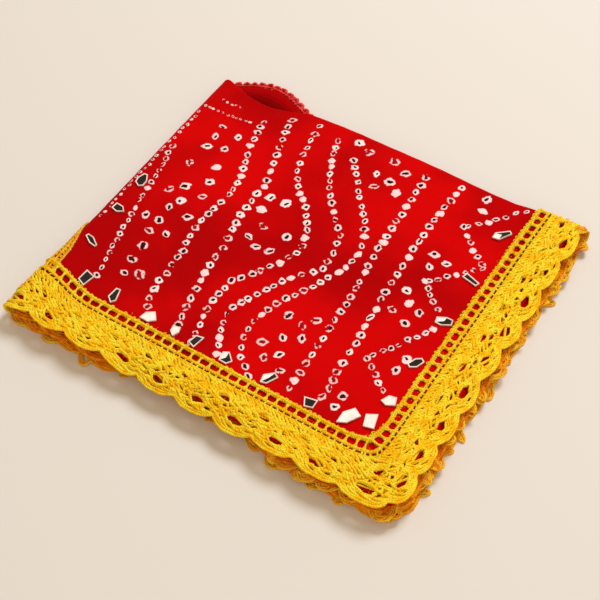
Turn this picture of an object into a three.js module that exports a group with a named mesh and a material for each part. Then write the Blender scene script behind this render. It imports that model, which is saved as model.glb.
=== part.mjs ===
// A square-cut cotton cloth, tie-dyed in rings and edged with a wide crochet lace, folded in four and
// lying flat. Millimetres, +Z up. The left-hand fold runs along Y at the low-X end, the back fold runs
// along X at the high-Y end, and the four layers of lace lie on the front and the right. The origin is on
// the underside, in the middle.
//
// Every soft piece is drawn flat, in the cloth's own measure (u, v), and carried onto the folded form by
// folded(). u is the distance from the left-hand fold line and v from the back fold line; the signs pick
// the layer: top u > 0, v < 0; second u > 0, v > 0; third u < 0, v > 0; bottom u < 0, v < 0.
import * as THREE from 'three';

// Driving dimensions of the folded stack
const FOLDED_WIDTH = 350;
const FOLDED_DEPTH = 312;
const CLOTH_THICK = 1.2;
const LACE_THICK = 2;
const LACE_WIDTH = 44;
const LACE_CLEAR = 0.95;
const CLOTH_EDGE_INSET = 10;

// The two folds: radii of the cloth's middle surface, and the centre lines that they turn about
const LEFT_OUTER_RADIUS = 8;
const LEFT_INNER_RADIUS = 4.3;
const LEFT_CENTRE = LEFT_OUTER_RADIUS;
const BACK_RADIUS = 2;
const BACK_CENTRE = FOLDED_DEPTH - BACK_RADIUS;
const BACK_ARC = Math.PI / 2 * BACK_RADIUS;
const HALF_WIDTH = FOLDED_WIDTH - LEFT_CENTRE + Math.PI / 2 * LEFT_OUTER_RADIUS;
const HALF_DEPTH = BACK_CENTRE + BACK_ARC;

// Each layer's middle surface: rest is its height in the field, laced its height under the lace, sink how
// far it drops at the lace tips, sway its share of the soft rolls, front and right how far its edges draw
// in
const LAYERS = {
  top: { rest: 15.8, laced: 17.4, sink: 5.6, sway: 1, front: 0, right: 0 },
  second: { rest: 11.6, laced: 14.5, sink: 2.9, sway: 1, front: 6, right: 4 },
  third: { rest: 4.7, laced: 6.5, sink: 2.8, sway: 0.25, front: 8, right: 5 },
  bottom: { rest: 0.6, laced: 3.8, sink: 0, sway: 0, front: 9, right: -3 },
};

// LACE_SLOPE is how far in from the lace the layers rise to it, LACE_CALM how much less they roll there,
// and SINK_REACH how far in from its tips the lace hangs down. Draws ease out over BLEND.
const LACE_SLOPE = 22;
const LACE_CALM = 0.65;
const SINK_REACH = 16;
const HANG_REACH = LACE_WIDTH - SINK_REACH;
const BLEND = 120;

// The strip of red picots along the lower back fold: from and to are its ends along the fold, the rest its
// profile
const PICOTS = { from: 10.5, to: 87, count: 11, base: 1.4, low: 3.6, high: 6.8, thick: 1.4, steps: 5 };

// The mirrors on the top layer, by their centres in the folded stack, lengths, widths, turns and numbers
// of corners
const MIRROR_THICK = 1.2;
const MIRROR_CLEAR = 0.35;
const SILVERED = [6, 7, 12, 13, 14];
const MIRROR_COLUMNS = ['x', 'y', 'long', 'wide', 'turn', 'corners'];
const MIRRORS = [
  [12.5, 166, 16, 9, 95, 7],
  [15, 126, 12, 9, 175, 5],
  [17, 82, 14, 7, 170, 6],
  [38, 52.5, 14, 12, 85, 4],
  [67, 54, 16, 8, 100, 5],
  [102, 51.5, 14, 10, 40, 5],
  [127, 51.5, 11, 7, 105, 5],
  [146, 52.5, 14, 8, 80, 4],
  [174, 51.5, 12, 11, 120, 5],
  [211, 53.5, 15, 9, 60, 5],
  [249, 51.5, 12, 10, 20, 4],
  [279, 56, 20, 10, 60, 5],
  [296, 62, 14, 12, 105, 4],
  [298, 84, 12, 9, 20, 5],
  [298, 124, 13, 8, 50, 6],
  [297, 170, 14, 9, 10, 6],
  [295, 218, 16, 7, 160, 4],
  [294, 273, 16, 9, 45, 5],
];

// Where the top lace stays lifted instead of sinking onto the lace below: along the front by X, along the
// right by Y
const FRONT_LIFTS = [
  { from: -40, to: 108, lift: 0.9 },
  { from: 232, to: 400, lift: 0.75 },
];
const RIGHT_LIFTS = [
  { from: -40, to: 70, lift: 0.75 },
  { from: 128, to: 176, lift: 0.6 },
  { from: 232, to: 340, lift: 0.8 },
];
const LIFT_EASE = 34;

// How the lace spreads inwards along the left fold: how far, up to what X, and how soon behind the lace it
// stops
const FLARE = { spread: 13, along: 58, fade: 150 };

// The open corner at the back left, where the upper fold slips forward and the lower one stands out behind
// it
const GAPE_LENGTH = 92;
const GAPE_REACH = 62;
const UPPER_FOLD_SLIP = 11;
const LOWER_FOLD_SLIP = 13;
const LOWER_FOLD_RISE = 6;
const LOWER_FOLD_RAMP = 40;

// How much further forward the left end of the back fold lies than its right end
const BACK_SKEW = 7;

// Lace pattern: scallops and eyelets of one repeat, measured along the edge (s) and outwards from the
// field (t)
const REPEAT = 34;
const NOTCH_REACH = 39;
const SIDE_REACH = 42.6;
const TIP_REACH = 43.7;
const EYELETS_PER_REPEAT = 4;
const EYELET = { width: 5.6, from: 3.2, to: 8, stray: 0.12 };
const EYE = { at: 0.25, reach: 34.6, width: 9, height: 4.8 };
const DIAMOND = { at: 0.75, reach: 22.4, width: 7, height: 5.2 };
const BAND_REACH = 12;
const SEAM_BOW = 0.4;

// How far the triangles may leave the smooth form: either way for the cloth; for the lace less towards the
// cloth
const CLOTH_CHORD_ERROR = 0.3;
const LACE_INWARD_ERROR = 0.6;
const LACE_OUTWARD_ERROR = 0.6;
const SIDEWAYS_ERROR = 1.2;

const clamp = (x, low, high) => Math.min(Math.max(x, low), high);
const ease = (x) => {
  const t = clamp(x, 0, 1);
  return t * t * (3 - 2 * t);
};

// 1 inside the given stretch, easing to 0 on both sides of it
const within = (x, from, to, easing) => ease((x - from) / easing + 0.5) * ease((to - x) / easing + 0.5);

const liftAlong = (lifts, x) => {
  let total = 0;
  for (const { from, to, lift } of lifts) total += lift * within(x, from, to, LIFT_EASE);
  return total;
};

function liftOf(x, y) {
  const nearFront = ease((LACE_WIDTH - y) / LACE_WIDTH);
  const nearRight = ease((x - FOLDED_WIDTH + LACE_WIDTH) / LACE_WIDTH);
  const share = nearFront + nearRight;
  if (share === 0) return 0;
  return (nearFront * liftAlong(FRONT_LIFTS, x) + nearRight * liftAlong(RIGHT_LIFTS, y)) / share;
}

// Soft rolls of the field, as the air under the upper layers leaves them
function rollOf(x, y) {
  const broad = 1.1 * Math.sin(x / 43 + 0.7) * Math.sin(y / 61 + 0.4);
  const slanting = 0.8 * Math.sin((x + 0.8 * y) / 34 + 2.1);
  return broad + slanting;
}

// Height of one layer's middle surface over the point (x, y). laced is 1 under the lace and 0 in the field,
// and tip is 1 at the lace's tips and 0 from SINK_REACH inwards.
function heightOf(layer, x, y, laced, tip) {
  const sinking = layer === LAYERS.top ? layer.sink * (1 - liftOf(x, y)) : layer.sink;
  const rolling = layer.sway * (1 - LACE_CALM * laced) * rollOf(x, y);
  return layer.rest + (layer.laced - layer.rest) * laced - sinking * tip + rolling;
}

// How far the lace spreads inwards at a point near the left fold, where it bends over the edge of the stack
const flareOf = (x, y) => {
  const nearFold = 1 - ease(x / FLARE.along);
  return FLARE.spread * nearFold * ease(y / LACE_WIDTH) * (1 - ease((y - LACE_WIDTH) / FLARE.fade));
};

const gapeOf = (x) => (x > 0 && x < GAPE_LENGTH ? Math.sin(Math.PI * x / GAPE_LENGTH) ** 1.4 : 0);

// How much of each layer a point belongs to, from how far it has turned round the left fold and the back
// fold
const sharesOf = (under, inner) => [
  [LAYERS.top, (1 - under) * (1 - inner)],
  [LAYERS.second, (1 - under) * inner],
  [LAYERS.third, under * inner],
  [LAYERS.bottom, under * (1 - inner)],
];

// The folded place of the flat point (u, v)
function middle(u, v) {
  const backTurn = Math.PI / 2 * (1 + clamp(v / BACK_ARC, -1, 1));
  const inner = (1 - Math.cos(backTurn)) / 2;
  const radius = LEFT_OUTER_RADIUS + (LEFT_INNER_RADIUS - LEFT_OUTER_RADIUS) * inner;
  const leftArc = Math.PI / 2 * radius;
  const leftTurn = Math.PI / 2 * (1 - clamp(u / leftArc, -1, 1));
  const under = (1 - Math.cos(leftTurn)) / 2;
  const beyondArc = Math.max(Math.abs(u) - leftArc, 0);
  const smoothInner = ease(0.5 + v / BLEND);
  const evenRadius = LEFT_OUTER_RADIUS + (LEFT_INNER_RADIUS - LEFT_OUTER_RADIUS) * smoothInner;
  const evening = (leftArc - Math.PI / 2 * evenRadius) * ease(beyondArc / BLEND);
  let x = LEFT_CENTRE + beyondArc + evening - radius * Math.sin(leftTurn);
  let y = BACK_CENTRE - Math.max(Math.abs(v) - BACK_ARC, 0) + BACK_RADIUS * Math.sin(backTurn);
  const towardsFront = ease(1 - y / BLEND);
  const towardsRight = ease(1 - (FOLDED_WIDTH - x) / BLEND);
  let drawnFront = 0;
  let drawnRight = 0;
  for (const [layer, share] of sharesOf(ease(0.5 - u / BLEND), smoothInner)) {
    drawnFront += share * layer.front;
    drawnRight += share * layer.right;
  }
  const gape = gapeOf(x) * ease(1 - (BACK_CENTRE - y) / GAPE_REACH);
  const slip = LOWER_FOLD_SLIP * under - UPPER_FOLD_SLIP * (1 - under);
  y += drawnFront * towardsFront * (1 - liftAlong(FRONT_LIFTS, x)) + slip * gape;
  y += flareOf(x, y) - BACK_SKEW * (1 - x / FOLDED_WIDTH) * y / FOLDED_DEPTH;
  x -= drawnRight * towardsRight;
  let z = LOWER_FOLD_RISE * under * gape * ease(0.7 + (y - BACK_CENTRE) / LOWER_FOLD_RAMP);
  const fromTipsU = HALF_WIDTH - Math.abs(u);
  const fromTipsV = HALF_DEPTH - Math.abs(v);
  const inField = ease((fromTipsU - LACE_WIDTH) / LACE_SLOPE) * ease((fromTipsV - LACE_WIDTH) / LACE_SLOPE);
  const tip = 1 - clamp(fromTipsU / SINK_REACH, 0, 1) * clamp(fromTipsV / SINK_REACH, 0, 1);
  for (const [layer, share] of sharesOf(under, inner)) {
    if (share > 0) z += share * heightOf(layer, x, y, 1 - inField, tip);
  }
  return new THREE.Vector3(x, y, z);
}

// The folded place of a point that stands off the cloth's middle surface by w, towards its right side
function folded(u, v, w) {
  const step = 0.05;
  const alongU = middle(u + step, v).sub(middle(u - step, v));
  const alongV = middle(u, v + step).sub(middle(u, v - step));
  return middle(u, v).addScaledVector(alongU.cross(alongV).normalize(), w);
}

function closed(positions, index) {
  const geometry = new THREE.BufferGeometry();
  geometry.setAttribute('position', new THREE.Float32BufferAttribute(positions, 3));
  geometry.setIndex(index);
  geometry.computeVertexNormals();
  return geometry;
}

// A flat net of triangles, with its points shared
class Net {
  constructor() {
    this.points = [];
    this.triangles = [];
    this.places = new Map();
  }

  point(u, v) {
    const key = `${Math.round(u * 500)},${Math.round(v * 500)}`;
    if (!this.places.has(key)) {
      this.places.set(key, this.points.length);
      this.points.push(new THREE.Vector2(u, v));
    }
    return this.places.get(key);
  }

  // Fills an outline with holes, given as lists of Vector2 in the order that place() maps them
  fill(outline, holes, place) {
    const all = [...outline, ...holes.flat()].map((p) => this.point(...place(p.x, p.y)));
    for (const [a, b, c] of THREE.ShapeUtils.triangulateShape(outline, holes)) {
      const [p, q, r] = [all[a], all[b], all[c]].map((i) => this.points[i]);
      const turn = q.clone().sub(p).cross(r.clone().sub(p));
      this.triangles.push(turn > 0 ? [all[a], all[b], all[c]] : [all[a], all[c], all[b]]);
    }
  }

  // Splits edges until their chords leave the folded form by less than inward and outward, towards and
  // away from the cloth's middle surface
  refine(w, inward, outward) {
    const carried = new Map();
    const carry = (i) => {
      if (!carried.has(i)) carried.set(i, folded(this.points[i].x, this.points[i].y, w));
      return carried.get(i);
    };
    const known = new Map();
    const middleOf = (a, b) => {
      const key = a < b ? `${a},${b}` : `${b},${a}`;
      if (!known.has(key)) {
        const centre = this.points[a].clone().add(this.points[b]).multiplyScalar(0.5);
        const chord = carry(a).clone().add(carry(b)).multiplyScalar(0.5);
        const place = folded(centre.x, centre.y, w);
        const away = folded(centre.x, centre.y, w + 1).sub(place).dot(chord.sub(place));
        const rough = -away > inward || away > outward || chord.length() > SIDEWAYS_ERROR;
        known.set(key, rough ? this.point(centre.x, centre.y) : -1);
      }
      return known.get(key);
    };
    for (let pass = 0, changed = true; changed && pass < 12; pass += 1) {
      changed = false;
      const next = [];
      for (const [a, b, c] of this.triangles) {
        const [p, q, r] = [middleOf(a, b), middleOf(b, c), middleOf(c, a)];
        const splits = (p >= 0) + (q >= 0) + (r >= 0);
        changed ||= splits > 0;
        if (splits === 0) next.push([a, b, c]);
        else if (splits === 3) next.push([a, p, r], [p, b, q], [r, q, c], [p, q, r]);
        else if (splits === 1) {
          if (p >= 0) next.push([a, p, c], [p, b, c]);
          else if (q >= 0) next.push([a, b, q], [a, q, c]);
          else next.push([a, b, r], [r, b, c]);
        } else if (p < 0) next.push([a, b, q], [a, q, r], [r, q, c]);
        else if (q < 0) next.push([a, p, r], [p, b, c], [p, c, r]);
        else next.push([p, b, q], [a, p, q], [a, q, c]);
      }
      this.triangles = next.filter(([a, b, c]) => a !== b && b !== c && c !== a);
    }
  }

  // The closed solid of the given thickness about the offset w
  solid(w, thick) {
    const count = this.points.length;
    const positions = [];
    for (const side of [0.5, -0.5]) {
      for (const p of this.points) positions.push(...folded(p.x, p.y, w + side * thick));
    }
    const index = [];
    const rim = new Map();
    for (const [a, b, c] of this.triangles) {
      index.push(a, b, c, count + a, count + c, count + b);
      for (const [p, q] of [[a, b], [b, c], [c, a]]) {
        if (rim.has(`${q},${p}`)) rim.delete(`${q},${p}`);
        else rim.set(`${p},${q}`, [p, q]);
      }
    }
    for (const [p, q] of rim.values()) index.push(p, count + p, q, q, count + p, count + q);
    return closed(positions, index);
  }
}

// The cotton cloth, cut a little smaller than the lace's tips. Its lines stand close where it turns or
// steps down.
function clothGeometry() {
  const net = new Net();
  const leftArc = Math.PI / 2 * LEFT_OUTER_RADIUS;
  const half = {
    u: [leftArc / 3, 2 * leftArc / 3, leftArc, 32, 52, 72, 96, 140, 190, 240],
    v: [BACK_ARC / 2, BACK_ARC, 22, 42, 62, 100, 145, 190],
  };
  const steps = [LACE_SLOPE, LACE_SLOPE / 2, 0].map((slope) => LACE_WIDTH + slope);
  steps.push(SINK_REACH, CLOTH_EDGE_INSET);
  for (const step of steps) {
    half.u.push(HALF_WIDTH - step);
    half.v.push(HALF_DEPTH - step);
  }
  const linesU = [...half.u.map((u) => -u).reverse(), 0, ...half.u];
  const linesV = [...half.v.map((v) => -v).reverse(), 0, ...half.v];
  for (let i = 1; i < linesU.length; i += 1) {
    for (let j = 1; j < linesV.length; j += 1) {
      const [u0, u1, v0, v1] = [linesU[i - 1], linesU[i], linesV[j - 1], linesV[j]];
      const [a, b, c, d] = [net.point(u0, v0), net.point(u1, v0), net.point(u1, v1), net.point(u0, v1)];
      net.triangles.push([a, b, c], [a, c, d]);
    }
  }
  net.refine(0, CLOTH_CHORD_ERROR, CLOTH_CHORD_ERROR);
  return net.solid(0, CLOTH_THICK);
}

const corner = (x, y) => new THREE.Vector2(x, y);
const box = (x0, x1, y0, y1) => [corner(x0, y0), corner(x1, y0), corner(x1, y1), corner(x0, y1)];
const lozenge = (x, y, w, h) => [
  corner(x - w / 2, y), corner(x, y - h / 2), corner(x + w / 2, y), corner(x, y + h / 2),
];
const almond = (x, y, w, h) => [
  corner(x - w / 2, y), corner(x - w / 4, y - h / 2), corner(x + w / 4, y - h / 2),
  corner(x + w / 2, y), corner(x + w / 4, y + h / 2), corner(x - w / 4, y + h / 2),
];

// One repeat of lace, of the given length along the edge. Its inner part lies over the cloth and its outer
// part hangs from SINK_REACH to the tips. The middle points of a seam between two parts stand a little off
// the straight line, so that the triangles on both sides use every one of them; the last repeat bows back
// from its corner.
function laceRepeat(length, withEyelets, last) {
  const tip = EYE.at * length;
  const notch = DIAMOND.at * length;
  const end = length + (last ? -SEAM_BOW : SEAM_BOW);
  const inner = [corner(0, 0), corner(SEAM_BOW, BAND_REACH), corner(0, HANG_REACH)];
  inner.push(corner(length, HANG_REACH), corner(end, BAND_REACH), corner(length, 0));
  const outer = [corner(0, HANG_REACH), corner(0, SIDE_REACH)];
  outer.push(corner(tip - length / 8, TIP_REACH), corner(tip + length / 8, TIP_REACH));
  outer.push(corner(tip + length / 4, SIDE_REACH), corner(notch, NOTCH_REACH));
  outer.push(corner(length, SIDE_REACH), corner(length, HANG_REACH));
  const innerHoles = [lozenge(notch, DIAMOND.reach, DIAMOND.width, DIAMOND.height)];
  const pitch = length / EYELETS_PER_REPEAT;
  for (let i = 0; withEyelets && i < EYELETS_PER_REPEAT; i += 1) {
    const centre = (i + 0.5) * pitch;
    const stray = EYELET.stray * (i % 2 ? i : -i);
    const [left, right] = [centre - EYELET.width / 2, centre + EYELET.width / 2];
    innerHoles.push(box(left, right, EYELET.from + stray, EYELET.to + stray));
  }
  return [
    { outline: inner, holes: innerHoles },
    { outline: outer, holes: [almond(tip, EYE.reach, EYE.width, EYE.height)] },
  ];
}

// One corner of the lace, measured from the field's corner along both edges: a square over the cloth,
// two hanging flaps beside it and the rounded tip between them
function laceCorner() {
  const square = [corner(0, 0), corner(-SEAM_BOW, BAND_REACH), corner(0, HANG_REACH)];
  square.push(corner(HANG_REACH, HANG_REACH), corner(HANG_REACH, 0), corner(BAND_REACH, -SEAM_BOW));
  const flap = [corner(0, HANG_REACH), corner(0, SIDE_REACH), corner(8, 41), corner(18, 45.5)];
  flap.push(corner(HANG_REACH, 44), corner(HANG_REACH, HANG_REACH));
  const point = [corner(HANG_REACH, HANG_REACH), corner(HANG_REACH, 44)];
  point.push(corner(38, 38), corner(44, HANG_REACH));
  const mirrored = (points) => points.map((p) => corner(p.y, p.x));
  const eye = almond(15.5, EYE.reach, EYE.width, EYE.height);
  return [
    { outline: square, holes: [box(3, 8.2, 3.4, 8.6), lozenge(18.8, 18.3, 8, 8)] },
    { outline: flap, holes: [eye] },
    { outline: mirrored(flap), holes: [mirrored(eye)] },
    { outline: point, holes: [] },
  ];
}

// The lace border: a closed frame of repeats on four sides and four corners
function laceGeometry() {
  const net = new Net();
  const fieldU = HALF_WIDTH - LACE_WIDTH;
  const fieldV = HALF_DEPTH - LACE_WIDTH;
  const along = Math.round(2 * fieldU / REPEAT);
  const down = Math.round(2 * fieldV / REPEAT);
  const lengthU = 2 * fieldU / along;
  const lengthV = 2 * fieldV / down;
  for (const sign of [-1, 1]) {
    for (let i = 0; i < along; i += 1) {
      const onTop = sign < 0 && i >= along / 2;
      for (const { outline, holes } of laceRepeat(lengthU, onTop, i === along - 1)) {
        net.fill(outline, holes, (s, t) => [-fieldU + i * lengthU + s, sign * (fieldV + t)]);
      }
    }
    for (let j = 0; j < down; j += 1) {
      const onTop = sign > 0 && j < Math.ceil(down / 2);
      for (const { outline, holes } of laceRepeat(lengthV, onTop, j === down - 1)) {
        net.fill(outline, holes, (s, t) => [sign * (fieldU + t), -fieldV + j * lengthV + s]);
      }
    }
    for (const other of [-1, 1]) {
      for (const { outline, holes } of laceCorner()) {
        net.fill(outline, holes, (s, t) => [sign * (fieldU + s), other * (fieldV + t)]);
      }
    }
  }
  const offset = CLOTH_THICK / 2 + LACE_CLEAR + LACE_THICK / 2;
  net.refine(offset, LACE_INWARD_ERROR, LACE_OUTWARD_ERROR);
  return net.solid(offset, LACE_THICK);
}

// The scalloped strip of picots: a thin band standing out from the lower back fold
function picotGeometry() {
  const columns = PICOTS.count * PICOTS.steps;
  const positions = [];
  const index = [];
  for (let i = 0; i <= columns; i += 1) {
    const u = -PICOTS.from - (PICOTS.to - PICOTS.from) * i / columns;
    const arch = Math.abs(Math.sin(Math.PI * i / PICOTS.steps));
    const reach = PICOTS.low + (PICOTS.high - PICOTS.low) * arch;
    for (const [v, w] of [[1, PICOTS.base], [1, reach], [-1, reach], [-1, PICOTS.base]]) {
      positions.push(...folded(u, v * PICOTS.thick / 2, w));
    }
    for (let k = 0; i > 0 && k < 4; k += 1) {
      const [a, b] = [4 * (i - 1) + k, 4 * (i - 1) + (k + 1) % 4];
      index.push(a, a + 4, b, b, a + 4, b + 4);
    }
  }
  const last = 4 * columns;
  index.push(0, 1, 2, 0, 2, 3, last, last + 2, last + 1, last, last + 3, last + 2);
  return closed(positions, index);
}

// One mirror: a flat plate with uneven corners, resting just clear of the top layer
function mirrorGeometry({ x, y, long, wide, turn, corners }) {
  const u = x - LEFT_CENTRE + Math.PI / 2 * LEFT_OUTER_RADIUS;
  const v = y - BACK_CENTRE - BACK_ARC;
  const centre = folded(u, v, CLOTH_THICK / 2);
  const up = folded(u, v, CLOTH_THICK / 2 + 1).sub(centre);
  const outline = [];
  let raised = 0;
  for (let i = 0; i < corners; i += 1) {
    const angle = 2 * Math.PI * (i + 0.5 + 0.16 * Math.sin(2.3 * i + x)) / corners;
    const [c, s] = [Math.cos(turn * Math.PI / 180), Math.sin(turn * Math.PI / 180)];
    const reach = 1 / Math.max(Math.abs(Math.cos(angle)), Math.abs(Math.sin(angle))) ** 0.6;
    const [p, q] = [0.5 * long * reach * Math.cos(angle), 0.5 * wide * reach * Math.sin(angle)];
    const under = folded(u + p * c - q * s, v + p * s + q * c, CLOTH_THICK / 2).sub(centre);
    const sag = under.dot(up);
    raised = Math.max(raised, sag);
    outline.push(under.addScaledVector(up, -sag).add(centre));
  }
  const base = raised + MIRROR_CLEAR + CLOTH_CHORD_ERROR;
  const positions = [];
  for (const lift of [base, base + MIRROR_THICK]) {
    for (const p of outline) positions.push(...p.clone().addScaledVector(up, lift));
  }
  const index = [];
  for (let i = 0; i < corners; i += 1) {
    const next = (i + 1) % corners;
    index.push(i, next, corners + next, i, corners + next, corners + i);
    if (i > 1) index.push(0, i, i - 1, corners, corners + i - 1, corners + i);
  }
  return closed(positions, index);
}

const piece = (name, geometry, color, roughness, metalness) => {
  const mesh = new THREE.Mesh(geometry, new THREE.MeshStandardMaterial({ color, roughness, metalness }));
  mesh.name = name;
  return mesh;
};

const stack = new THREE.Group();
stack.position.set(-FOLDED_WIDTH / 2, -FOLDED_DEPTH / 2, 0);
stack.add(piece('cloth', clothGeometry(), 0xc8050a, 0.85, 0));
stack.add(piece('lace_border', laceGeometry(), 0xf6b512, 0.9, 0));
stack.add(piece('picot_edging', picotGeometry(), 0xc8050a, 0.85, 0));
MIRRORS.forEach((row, i) => {
  const mirror = Object.fromEntries(MIRROR_COLUMNS.map((column, k) => [column, row[k]]));
  const color = SILVERED.includes(i + 1) ? 0xf2f2f0 : 0x17171c;
  stack.add(piece(`mirror_${String(i + 1).padStart(2, '0')}`, mirrorGeometry(mirror), color, 0.08, 0.6));
});

export default stack;
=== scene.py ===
"""A square cotton cloth with a crochet lace border, folded in four and lying flat.

Metres in the scene, millimetres in the tables. Every soft piece is drawn flat, in the cloth's own measure
(u, v), and carried onto the folded form by folded(). u is the distance from the left-hand fold line and v
from the back fold line; the signs pick the layer: top u > 0, v < 0; second u > 0, v > 0; third u < 0,
v > 0; bottom u < 0, v < 0. w stands off the cloth towards its right side.
"""

import math

import bpy
import numpy as np
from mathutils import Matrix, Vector


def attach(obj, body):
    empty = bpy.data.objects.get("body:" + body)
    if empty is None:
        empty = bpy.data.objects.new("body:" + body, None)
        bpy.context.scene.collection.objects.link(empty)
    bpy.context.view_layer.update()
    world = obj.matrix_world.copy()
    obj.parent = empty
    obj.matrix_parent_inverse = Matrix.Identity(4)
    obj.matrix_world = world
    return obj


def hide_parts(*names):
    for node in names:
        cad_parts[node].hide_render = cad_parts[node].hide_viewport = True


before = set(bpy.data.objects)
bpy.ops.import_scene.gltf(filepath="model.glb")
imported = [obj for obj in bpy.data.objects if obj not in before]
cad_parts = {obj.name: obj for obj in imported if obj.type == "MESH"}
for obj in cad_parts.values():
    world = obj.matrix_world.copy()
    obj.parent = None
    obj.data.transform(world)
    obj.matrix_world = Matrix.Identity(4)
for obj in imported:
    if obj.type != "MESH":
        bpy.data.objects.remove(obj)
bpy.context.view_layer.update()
rng = np.random.default_rng(41)

# The folded stack
FOLDED_WIDTH = 350
FOLDED_DEPTH = 312
CLOTH_THICK = 1.2
CLOTH_EDGE_INSET = 10
LACE_WIDTH = 44
LEFT_OUTER_RADIUS = 8
LEFT_INNER_RADIUS = 4.3
LEFT_CENTRE = LEFT_OUTER_RADIUS
BACK_RADIUS = 2
BACK_CENTRE = FOLDED_DEPTH - BACK_RADIUS
BACK_ARC = math.pi / 2 * BACK_RADIUS
HALF_WIDTH = FOLDED_WIDTH - LEFT_CENTRE + math.pi / 2 * LEFT_OUTER_RADIUS
HALF_DEPTH = BACK_CENTRE + BACK_ARC
FIELD_U = HALF_WIDTH - LACE_WIDTH
FIELD_V = HALF_DEPTH - LACE_WIDTH

# Each layer's middle surface: rest is its height in the field, laced its height under the lace, sink how far
# it drops at the lace tips, sway its share of the soft rolls, front and right how far its edges draw in
LAYERS = {
    "top": {"rest": 15.8, "laced": 17.4, "sink": 5.6, "sway": 1, "front": 0, "right": 0},
    "second": {"rest": 11.6, "laced": 14.5, "sink": 2.9, "sway": 1, "front": 6, "right": 4},
    "third": {"rest": 4.7, "laced": 6.5, "sink": 2.8, "sway": 0.25, "front": 8, "right": 5},
    "bottom": {"rest": 0.6, "laced": 3.8, "sink": 0, "sway": 0, "front": 9, "right": -3},
}

# LACE_SLOPE is how far in from the lace the layers rise to it, LACE_CALM how much less they roll there, and
# SINK_REACH how far in from its tips the lace hangs down. Draws ease out over BLEND.
LACE_SLOPE = 22
LACE_CALM = 0.65
SINK_REACH = 16
BLEND = 120

# Where the top lace stays lifted, as start, end and lift: along the front by x, along the right by y
FRONT_LIFTS = ((-40, 108, 0.9), (232, 400, 0.75))
RIGHT_LIFTS = ((-40, 70, 0.75), (128, 176, 0.6), (232, 340, 0.8))
LIFT_EASE = 34

# How the lace spreads inwards along the left fold: how far, up to what x, and how soon behind it that stops
FLARE_SPREAD, FLARE_ALONG, FLARE_FADE = 13, 58, 150

# The open corner at the back left, where the upper fold slips forward and the lower one stands out behind
GAPE_LENGTH = 92
GAPE_REACH = 62
GAPE_POWER = 1.4
UPPER_FOLD_SLIP = 11
LOWER_FOLD_SLIP = 13
LOWER_FOLD_RISE = 6
LOWER_FOLD_RAMP = 40

# How much further forward the left end of the back fold lies than its right end
BACK_SKEW = 7


def ease(x):
    """A soft step from 0 to 1."""
    t = np.clip(x, 0, 1)
    return t * t * (3 - 2 * t)


def lift_along(lifts, x):
    """How much the top lace is lifted at x."""
    total = 0
    for start, end, lift in lifts:
        total = total + lift * ease((x - start) / LIFT_EASE + 0.5) * ease((end - x) / LIFT_EASE + 0.5)
    return total


def lift_of(x, y):
    """The lift anywhere on the border, shared out where the front and the right meet."""
    near_front = ease((LACE_WIDTH - y) / LACE_WIDTH)
    near_right = ease((x - FOLDED_WIDTH + LACE_WIDTH) / LACE_WIDTH)
    lifted = near_front * lift_along(FRONT_LIFTS, x) + near_right * lift_along(RIGHT_LIFTS, y)
    return lifted / np.maximum(near_front + near_right, 1e-9)


def roll_of(x, y):
    """Soft rolls of the field, as the air under the upper layers leaves them."""
    broad = 1.1 * np.sin(x / 43 + 0.7) * np.sin(y / 61 + 0.4)
    slanting = 0.8 * np.sin((x + 0.8 * y) / 34 + 2.1)
    return broad + slanting


def shares_of(under, inner):
    """How much of each layer a point belongs to, from how far it has turned round each fold."""
    parts = ((1 - under) * (1 - inner), (1 - under) * inner, under * inner, under * (1 - inner))
    return dict(zip(LAYERS, parts))


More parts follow.
